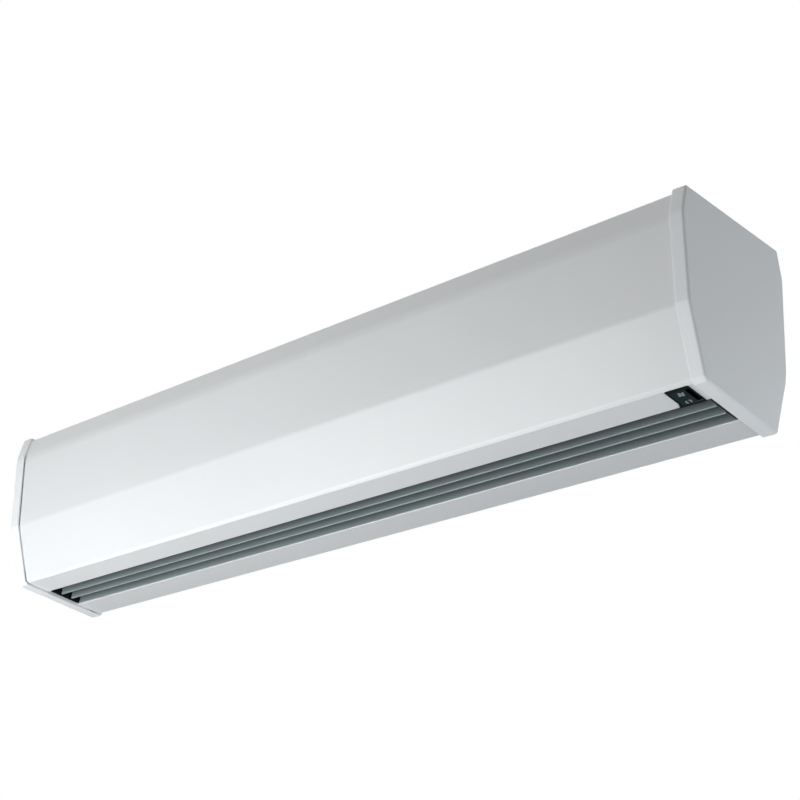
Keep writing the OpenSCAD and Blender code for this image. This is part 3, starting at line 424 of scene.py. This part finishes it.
def cut_through(bm, place, normal):
    """Adds a line of edges where a plane crosses the faces."""
    bmesh.ops.bisect_plane(bm, geom=bm.verts[:] + bm.edges[:] + bm.faces[:], plane_co=place,
                           plane_no=normal, dist=TOUCH)


def thicken(bm, thickness):
    """Gives a sheet its thickness on the side away from its normals."""
    bmesh.ops.solidify(bm, geom=bm.faces[:], thickness=thickness)
    bmesh.ops.recalc_face_normals(bm, faces=bm.faces[:])


def prism(outline, x_from, x_to):
    """A solid with an outline in (y, z) that runs from one x to another."""
    bm = bmesh.new()
    face = bm.faces.new([bm.verts.new((x_from, *p)) for p in outline])
    solid = bmesh.ops.extrude_face_region(bm, geom=[face])["geom"]
    bmesh.ops.translate(bm, verts=grown(solid, bmesh.types.BMVert), vec=(x_to - x_from, 0, 0))
    bmesh.ops.recalc_face_normals(bm, faces=bm.faces[:])
    return bm


# Turns what an operator makes along Z to lie along the casing
ONTO_X = Matrix.Rotation(math.pi / 2, 4, "Y")


def outlet_frame(x):
    """From (x, s, n) on the outlet face to the casing's own axes."""
    corner = Matrix.Translation((x, -OUTLET_FACE / 2, -FRONT_DROP))
    return corner @ Matrix.Rotation(-TILT, 4, "X")


# Covers: the radii of their bends at the top, shoulders, waist, back, rear lower corner, of the
# chamfer's two bends, of the folds at the slot, and of the sheet's cut edges
TOP_RADIUS = 0.003
SHOULDER_RADIUS = 0.045
WAIST_RADIUS = 0.018
REAR_BEND_RADIUS = 0.030
LIP_RADIUS = 0.003
CREASE_RADIUS = 0.0022
CUT_RADIUS = 0.0009
FOLD_RADIUS = 0.0012
SHEET_EDGE = 0.0003
# The whole lip lies below this level
LIP_LEVEL = -0.15
# How far the switch frame laps over the cover's cut-out, and how far behind the outlet face's front
# corner the frame and its window start
PANEL_LAP = 0.0012
PANEL_FRONT = 0.0023
ROCKERS_FRONT = 0.0066
panel_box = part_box("switch_panel")


def make_front_cover():
    """The front sheet: top strip, three facets, and the lip with the cut-out for the switches."""
    facets = cut_corner(skin, FRONT_CORNER, LIP_CUT)[:FRONT_CORNER + 2]
    path = [Vector((-GRILLE_HALF, -CAP_PROUD)), *facets, outlet_point(LIP_DEPTH, CAP_PROUD),
            outlet_point(LIP_DEPTH, CAP_PROUD + LIP_FOLD)]
    radii = [TOP_RADIUS, SHOULDER_RADIUS, WAIST_RADIUS, CREASE_RADIUS, CUT_RADIUS, FOLD_RADIUS]
    bm = bent_sheet(path, radii)
    # The cut-out for the switches, open to the outlet slot
    sides = [panel_box[0].x + PANEL_LAP, panel_box[1].x - PANEL_LAP]
    front = outlet_point(ROCKERS_FRONT - PANEL_LAP, CAP_PROUD)
    for x in sides:
        cut_through(bm, (x, 0, 0), (1, 0, 0))
    cut_through(bm, (0, *front), (0, math.cos(TILT), -math.sin(TILT)))
    hole = [f for f in bm.faces if sides[0] < f.calc_center_median().x < sides[1]
            and f.calc_center_median().y > front.x and f.calc_center_median().z < LIP_LEVEL]
    bmesh.ops.delete(bm, geom=hole, context="FACES")
    thicken(bm, COVER_SHEET)
    soften(bm, SHEET_EDGE)
    add_piece(bm, "front_cover_sheet", "housing", front_paint, ["front_cover"])


def make_rear_cover():
    """The rear sheet: rear panel of the outlet face, back and top strip."""
    path = [outlet_point(slot_end, CAP_PROUD + LIP_FOLD), outlet_point(slot_end, CAP_PROUD),
            *skin[FRONT_CORNER + 1:], Vector((GRILLE_HALF, -CAP_PROUD))]
    radii = [FOLD_RADIUS, LIP_RADIUS, REAR_BEND_RADIUS, SHOULDER_RADIUS, TOP_RADIUS]
    bm = bent_sheet(path, radii)
    thicken(bm, COVER_SHEET)
    soften(bm, SHEET_EDGE)
    add_piece(bm, "rear_cover_sheet", "housing", shaded_rear_paint, ["rear_cover"])


make_front_cover()
make_rear_cover()


# End caps: the radii of the outline's corners from the front of the top round to its rear, and of
# the edges round the end face and round the rim
CAP_RADII = [0.003, 0.020, 0.008, 0.003, 0.003, 0.005, 0.060, 0.020, 0.003]
CAP_EDGE = 0.0028
RIM_EDGE = 0.0014
EDGE_STEPS = 5
# The x of a normal that looks back at the casing, and a number of corners that only the face to be
# hollowed out exceeds
LOOKS_BACK = -0.9
RING_CORNERS = 8


def make_end_cap(side, name):
    """A moulded cap, hollow from the casing's side. The left one is the right one mirrored."""
    outline = cut_corner(cap_outline, FRONT_CORNER, CAP_CUT)
    bm = prism(outline, body_end, cap_end)
    for point, radius in zip(outline, CAP_RADII):
        round_along_x(bm, point, radius)
    for x, edge in ((cap_end, CAP_EDGE), (body_end, RIM_EDGE)):
        around = [e for e in bm.edges if all(abs(v.co.x - x) < TOUCH for v in e.verts)]
        bevel(bm, around, edge, EDGE_STEPS)
    back = [f for f in bm.faces if f.normal.x < LOOKS_BACK]
    bmesh.ops.inset_region(bm, faces=back, thickness=CAP_RIM - RIM_EDGE, use_even_offset=True)
    hollow = [f for f in bm.faces
              if f.normal.x < LOOKS_BACK and len(f.verts) > RING_CORNERS]
    floor = bmesh.ops.extrude_face_region(bm, geom=hollow)["geom"]
    bmesh.ops.delete(bm, geom=hollow, context="FACES")
    depth = cap_end - body_end - CAP_FACE
    bmesh.ops.translate(bm, verts=grown(floor, bmesh.types.BMVert), vec=(depth, 0, 0))
    bmesh.ops.recalc_face_normals(bm, faces=bm.faces[:])
    if side < 0:
        bmesh.ops.scale(bm, verts=bm.verts[:], vec=(-1, 1, 1))
        bmesh.ops.reverse_faces(bm, faces=bm.faces[:])
    add_piece(bm, name + "_shell", "housing", cap_white, [name])


make_end_cap(-1, "end_cap_left")
make_end_cap(1, "end_cap_right")

# Vanes: their thickness and depth, the radius of their long edges, and that of their pins
VANE_SHEET = 0.0022
VANE_DEPTH = 0.025
VANE_EDGE = 0.3 * VANE_SHEET
VANE_EDGE_STEPS = 4
VANE_PIN = 0.0015
PIN_REACH = 0.006
ROUND_SIDES = 20


def make_vane(node, body):
    """A flat blade with rounded long edges and a round pin at each end."""
    low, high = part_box(node)
    place = (low + high) / 2
    blade_end = high.x - PIN_REACH
    bm = bmesh.new()
    bmesh.ops.create_cube(bm, size=1)
    bmesh.ops.scale(bm, verts=bm.verts[:], vec=(2 * blade_end, VANE_SHEET, VANE_DEPTH))
    long_edges = [e for e in bm.edges if abs(e.verts[0].co.x - e.verts[1].co.x) > blade_end]
    bevel(bm, long_edges, VANE_EDGE, VANE_EDGE_STEPS)
    for side in (-1, 1):
        pin = Matrix.Translation((side * blade_end, 0, 0)) @ ONTO_X
        bmesh.ops.create_cone(bm, cap_ends=True, segments=ROUND_SIDES, radius1=VANE_PIN,
                              radius2=VANE_PIN, depth=2 * PIN_REACH, matrix=pin)
    turn = Matrix.Translation(place) @ Matrix.Rotation(-TILT, 4, "X")
    bmesh.ops.transform(bm, verts=bm.verts[:], matrix=turn)
    add_piece(bm, node + "_blade", body, vane_grey, [node])


make_vane("vane_front", "front_vane")
make_vane("vane_rear", "rear_vane")

# Switch frame: its thickness, the radii of its front corners and of its edges, and its rear end
PANEL_FLANGE = 0.001
PANEL_CORNER = 0.0018
PANEL_EDGE = 0.00025
PANEL_REAR = 0.0346
# Its borders beside and behind the window, and how far its left side is moved in
FRAME_WIDTH = 0.0014
REAR_BAR = 0.0023
PANEL_SHIFT = 0.0005
# How far it widens to the left at the slot, and over what length
FLARE = 0.0032
FLARE_LENGTH = 0.008
# Radians: only the turn of a frame's corner is sharper
SQUARE_TURN = 1.0
switch_x = (panel_box[0].x + panel_box[1].x) / 2
panel_half = (panel_box[1].x - panel_box[0].x) / 2
panel_left = PANEL_SHIFT - panel_half


def make_switch_frame():
    """The black frame round the rockers. Its two front corners are rounded."""
    bm = bmesh.new()
    outline = [(panel_left, PANEL_FRONT), (panel_half, PANEL_FRONT), (panel_half, PANEL_REAR),
               (panel_left - FLARE, PANEL_REAR), (panel_left, PANEL_REAR - FLARE_LENGTH)]
    window = [(panel_left + FRAME_WIDTH, ROCKERS_FRONT),
              (panel_half - FRAME_WIDTH, PANEL_REAR - REAR_BAR)]
    bm.faces.new([bm.verts.new((x, s, CAP_PROUD)) for x, s in outline])
    for corner in window:
        cut_through(bm, (corner[0], 0, 0), (1, 0, 0))
        cut_through(bm, (0, corner[1], 0), (0, 1, 0))
    inside = [f for f in bm.faces if window[0][0] < f.calc_center_median().x < window[1][0]
              and window[0][1] < f.calc_center_median().y < window[1][1]]
    bmesh.ops.delete(bm, geom=inside, context="FACES")
    front = bmesh.ops.extrude_face_region(bm, geom=bm.faces[:])["geom"]
    bmesh.ops.translate(bm, verts=grown(front, bmesh.types.BMVert), vec=(0, 0, -PANEL_FLANGE))
    bmesh.ops.recalc_face_normals(bm, faces=bm.faces[:])
    corners = [e for e in bm.edges if abs(e.verts[0].co.z - e.verts[1].co.z) > NEAR
               and e.calc_face_angle() > SQUARE_TURN
               and abs(e.verts[0].co.x) > -panel_left - NEAR
               and e.verts[0].co.y < PANEL_FRONT + NEAR]
    bevel(bm, corners, PANEL_CORNER, EDGE_STEPS)
    soften(bm, PANEL_EDGE)
    bmesh.ops.transform(bm, verts=bm.verts[:], matrix=outlet_frame(switch_x))
    add_piece(bm, "switch_frame", "housing", black_moulding, ["switch_panel"])


make_switch_frame()

# Rockers: each reaches from -ROCKER_HALF to ROCKER_END along the casing. Its left end stands
# ROCKER_LOW above the outlet face, and its long face rises from there to the pressed end.
ROCKER_HALF = 0.01075
ROCKER_END = 0.0055
ROCKER_WIDTH = 0.0122
ROCKER_EDGE = 0.00025
ROCKER_LOW = 0.0019
ROCKER_RISE = 0.0014 / 0.0161
ROCKER_BACK = [(0.0046, 0.0042), (-0.0010, 0.0080), (-0.0025, 0.0074), (-ROCKER_HALF, 0.0044)]
FAN_ROCKER_START = 0.0071
HEAT_ROCKER_START = 0.0198


def make_rocker(node, body, start):
    """A rocker whose right end is pressed so far in that it leaves a dark well beside it."""
    rise = ROCKER_RISE * (ROCKER_HALF + ROCKER_END)
    outline = [(-ROCKER_HALF, ROCKER_LOW), (ROCKER_END, ROCKER_LOW + rise), *ROCKER_BACK]
    bm = bmesh.new()
    side = bm.faces.new([bm.verts.new((x, start, n)) for x, n in outline])
    solid = bmesh.ops.extrude_face_region(bm, geom=[side])["geom"]
    bmesh.ops.translate(bm, verts=grown(solid, bmesh.types.BMVert), vec=(0, ROCKER_WIDTH, 0))
    bmesh.ops.recalc_face_normals(bm, faces=bm.faces[:])
    soften(bm, ROCKER_EDGE)
    bmesh.ops.transform(bm, verts=bm.verts[:], matrix=outlet_frame(switch_x))
    add_piece(bm, node + "_key", body, rocker_black, [node])


make_rocker("fan_rocker", "fan_switch", FAN_ROCKER_START)
make_rocker("heat_rocker", "heat_switch", HEAT_ROCKER_START)

# The printed signs on the rockers, a fan and a pair of heat arcs: where each one's middle lies
# along the casing and behind the front corner
PRINT = 0.00012
FAN_SIGN = (0.4786, 0.0136)
HEAT_SIGN = (0.4775, 0.0281)
LOBE_RADIUS = 0.0014
LOBE_PLACE = (0.0022, 0.0006, 0)
LOBE_TURN = math.radians(20)
LOBE_STRETCH = 1.25
LOBE_SIDES = 14
ARC_RADII = (0.0017, 0.0033)
ARC_ANGLE = math.radians(124)
ARC_STEPS = 12
rocker_left = switch_x - ROCKER_HALF


def rocker_top(x, s):
    """The frame of a sign: its middle on a rocker's long face, turned to lie in that face."""
    slope = math.atan(ROCKER_RISE)
    n = ROCKER_LOW + (x - rocker_left) * ROCKER_RISE
    return outlet_frame(x) @ Matrix.Translation((0, s, n)) @ Matrix.Rotation(-slope, 4, "Y")


def raise_print(bm, name, body, place):
    """Makes a flat sign a thin raised one, half sunk into the rocker's face."""
    raised = bmesh.ops.extrude_face_region(bm, geom=bm.faces[:])["geom"]
    bmesh.ops.translate(bm, verts=grown(raised, bmesh.types.BMVert), vec=(0, 0, -2 * PRINT))
    bmesh.ops.translate(bm, verts=bm.verts[:], vec=(0, 0, PRINT))
    bmesh.ops.recalc_face_normals(bm, faces=bm.faces[:])
    bmesh.ops.transform(bm, verts=bm.verts[:], matrix=place)
    add_piece(bm, name, body, print_grey)


def make_fan_sign():
    """Four swept lobes round a middle."""
    bm = bmesh.new()
    for quarter in range(4):
        blade = Matrix.Rotation(math.radians(45 + 90 * quarter), 4, "Z")
        lobe = (blade @ Matrix.Translation(LOBE_PLACE) @ Matrix.Rotation(LOBE_TURN, 4, "Z")
                @ Matrix.Diagonal((LOBE_STRETCH, 1, 1, 1)))
        bmesh.ops.create_circle(bm, cap_ends=True, segments=LOBE_SIDES, radius=LOBE_RADIUS,
                                matrix=lobe)
    raise_print(bm, "fan_sign", "fan_switch", rocker_top(*FAN_SIGN))


def make_heat_sign():
    """Two arcs that face each other."""
    bm = bmesh.new()
    for side in (-1, 1):
        start = [bm.verts.new((side * r, 0, 0)) for r in ARC_RADII]
        foot = bm.edges.new(start)
        bmesh.ops.rotate(bm, verts=start, cent=(0, 0, 0),
                         matrix=Matrix.Rotation(-ARC_ANGLE / 2, 3, "Z"))
        bmesh.ops.spin(bm, geom=[foot], cent=(0, 0, 0), axis=(0, 0, 1), dvec=(0, 0, 0),
                       angle=ARC_ANGLE, steps=ARC_STEPS, use_duplicate=False)
    raise_print(bm, "heat_sign", "heat_switch", rocker_top(*HEAT_SIGN))


make_fan_sign()
make_heat_sign()

# Heating rods: a core with a thinner terminal at each end and one long helical fin
ROD_RADIUS = 0.0042
ROD_LEAD = 0.009
TERMINAL_RADIUS = 0.0018
TERMINAL_SIDES = 12
FIN_MARGIN = 0.03
FIN_BITE = 0.0003
FIN_REACH = 0.0026
FIN_PITCH = 0.0045
FIN_STEPS = 16


def make_heating_rods():
    """One rod is made round the X axis and copied twice, and all three are set down the duct."""
    low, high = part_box("heater_rods")
    rod_end = high.x
    bm = bmesh.new()
    for radius, sides, end in ((ROD_RADIUS, ROUND_SIDES, rod_end - ROD_LEAD),
                               (TERMINAL_RADIUS, TERMINAL_SIDES, rod_end)):
        bmesh.ops.create_cone(bm, cap_ends=True, segments=sides, radius1=radius, radius2=radius,
                              depth=2 * end, matrix=ONTO_X)
    turns = int(2 * (rod_end - FIN_MARGIN) / FIN_PITCH)
    fin_start = -turns * FIN_PITCH / 2
    foot = bm.verts.new((fin_start, 0, ROD_RADIUS - FIN_BITE))
    tip = bm.verts.new((fin_start, 0, ROD_RADIUS + FIN_REACH))
    fin = bm.edges.new((foot, tip))
    bmesh.ops.spin(bm, geom=[fin], cent=(0, 0, 0), axis=(1, 0, 0),
                   dvec=(FIN_PITCH / FIN_STEPS, 0, 0), angle=turns * 2 * math.pi,
                   steps=turns * FIN_STEPS, use_duplicate=False)
    rod = bm.verts[:] + bm.edges[:] + bm.faces[:]
    top = Vector((0, low.y + ROD_RADIUS, high.z - ROD_RADIUS))
    bottom = Vector((0, high.y - ROD_RADIUS, low.z + ROD_RADIUS))
    for place in ((top + bottom) / 2, bottom):
        copy = bmesh.ops.duplicate(bm, geom=rod)["geom"]
        bmesh.ops.translate(bm, verts=grown(copy, bmesh.types.BMVert), vec=place)
    bmesh.ops.translate(bm, verts=grown(rod, bmesh.types.BMVert), vec=top)
    add_piece(bm, "finned_rods", "housing", rod_steel, ["heater_rods"], sharp=60)


make_heating_rods()


# Stage, light and camera
FLOOR_DROP = 2.1
FLOOR_HALF = 30
FLOOR_GREY = (0.35, 0.35, 0.35)
FLOOR_GLOW = 0.62
AMBIENT = 0.135
NEUTRAL = (1, 1, 1)
COOL = (0.90, 0.955, 1.0)
# Each lamp's name, place, the point it faces, its width and height, its power and its colour
LAMPS = [
    ("left", (-0.6, -1.1, -0.5), (-0.5, 0, -0.1), (0.9, 0.9), 4.9, NEUTRAL),
    ("low_left", (-0.55, -0.75, -0.9), (-0.45, 0, -0.15), (0.8, 0.6), 7.6, NEUTRAL),
    ("front", (-0.2, -2.0, -0.5), (0, 0, -0.1), (1.6, 1.0), 1.4, NEUTRAL),
    ("front_right", (0.9, -1.4, -0.2), (0.4, 0, -0.1), (0.9, 0.9), 1.0, NEUTRAL),
    ("under_lip", (0, -0.35, -0.6), (0, -0.045, -0.2), (1.6, 0.25), 2.3, NEUTRAL),
    ("right_low", (2.1, -0.3, -0.8), (0.5, 0, -0.1), (1.2, 1.2), 3.9, COOL),
    ("right_rear", (0.95, 0.35, -0.5), (0.516, 0.02, -0.13), (0.4, 0.4), 1.45, COOL),
    ("above", (0, 0.3, 2.2), (0, 0, 0), (2.4, 2.0), 28, NEUTRAL),
    ("behind", (0, 2.2, 0.2), (0, 0, -0.1), (2.0, 1.2), 26, NEUTRAL),
]


def seen_pale(material, glow):
    """Lifts what the camera sees of the floor, so that it is pale and still takes the shadow."""
    nodes, links = material.node_tree.nodes, material.node_tree.links
    lift = nodes.new("ShaderNodeEmission")
    rays = nodes.new("ShaderNodeLightPath")
    both = nodes.new("ShaderNodeAddShader")
    strength = nodes.new("ShaderNodeMath")
    strength.operation = "MULTIPLY"
    strength.inputs[1].default_value = glow
    links.new(rays.outputs["Is Camera Ray"], strength.inputs[0])
    links.new(strength.outputs["Value"], lift.inputs["Strength"])
    links.new(nodes["Principled BSDF"].outputs["BSDF"], both.inputs[0])
    links.new(lift.outputs["Emission"], both.inputs[1])
    links.new(both.outputs["Shader"], nodes["Material Output"].inputs["Surface"])
    return material


def make_floor():
    """A wide pale floor well below the hanging casing."""
    bm = bmesh.new()
    bmesh.ops.create_grid(bm, x_segments=1, y_segments=1, size=FLOOR_HALF)
    bmesh.ops.translate(bm, verts=bm.verts[:], vec=(0, 0, -FLOOR_DROP))
    mesh = bpy.data.meshes.new("floor")
    bm.to_mesh(mesh)
    bm.free()
    floor = bpy.data.objects.new("floor", mesh)
    bpy.context.scene.collection.objects.link(floor)
    material = finish("pale_floor", FLOOR_GREY, roughness=0.8, grain=40, change=0.01)
    mesh.materials.append(seen_pale(material, FLOOR_GLOW))


def softbox(name, place, aim, size, power, colour):
    """A rectangular lamp that faces a point and is itself unseen."""
    lamp = bpy.data.lights.new(name, "AREA")
    lamp.shape = "RECTANGLE"
    lamp.size, lamp.size_y = size
    lamp.energy = power
    lamp.color = colour
    holder = bpy.data.objects.new(name, lamp)
    bpy.context.scene.collection.objects.link(holder)
    holder.visible_camera = False
    holder.location = place
    holder.rotation_euler = (Vector(aim) - Vector(place)).to_track_quat("-Z", "Y").to_euler()


def make_world(ambient):
    """Even light all round, and white where the camera or a reflection looks past the object."""
    world = bpy.data.worlds.new("studio")
    bpy.context.scene.world = world
    world.use_nodes = True
    nodes, links = world.node_tree.nodes, world.node_tree.links
    light = nodes["Background"]
    light.inputs["Color"].default_value = (1, 1, 1, 1)
    light.inputs["Strength"].default_value = ambient
    backdrop = nodes.new("ShaderNodeBackground")
    backdrop.inputs["Color"].default_value = (1, 1, 1, 1)
    rays = nodes.new("ShaderNodeLightPath")
    choose = nodes.new("ShaderNodeMixShader")
    seen = nodes.new("ShaderNodeMath")
    seen.operation = "MAXIMUM"
    links.new(rays.outputs["Is Camera Ray"], seen.inputs[0])
    links.new(rays.outputs["Is Glossy Ray"], seen.inputs[1])
    through = nodes.new("ShaderNodeMath")
    through.operation = "MAXIMUM"
    links.new(seen.outputs["Value"], through.inputs[0])
    links.new(rays.outputs["Is Transmission Ray"], through.inputs[1])
    links.new(through.outputs["Value"], choose.inputs["Fac"])
    links.new(light.outputs["Background"], choose.inputs[1])
    links.new(backdrop.outputs["Background"], choose.inputs[2])
    links.new(choose.outputs["Shader"], nodes["World Output"].inputs["Surface"])


CAMERA_PLACE = (1.2441, -1.2558, -0.8324)
CAMERA_AZIMUTH = math.radians(42.773)
CAMERA_ELEVATION = math.radians(-23.867)
CAMERA_ROLL = math.radians(1.963)
CAMERA_LENS = 75.42
CAMERA_SENSOR = 36
CAMERA_FAR = 100


def make_camera():
    """The camera at the photograph's place, low in front of the right end."""
    lens = bpy.data.cameras.new("camera")
    lens.lens = CAMERA_LENS
    lens.sensor_width = CAMERA_SENSOR
    lens.clip_end = CAMERA_FAR
    camera = bpy.data.objects.new("camera", lens)
    bpy.context.scene.collection.objects.link(camera)
    across = math.cos(CAMERA_ELEVATION)
    back = Vector((math.sin(CAMERA_AZIMUTH) * across, -math.cos(CAMERA_AZIMUTH) * across,
                   math.sin(CAMERA_ELEVATION)))
    turn = back.to_track_quat("Z", "Y").to_matrix() @ Matrix.Rotation(CAMERA_ROLL, 3, "Z")
    camera.matrix_world = Matrix.Translation(CAMERA_PLACE) @ turn.to_4x4()
    bpy.context.scene.camera = camera


make_floor()
make_world(AMBIENT)
for lamp_values in LAMPS:
    softbox(*lamp_values)
make_camera()
bpy.context.scene.view_settings.view_transform = "Standard"
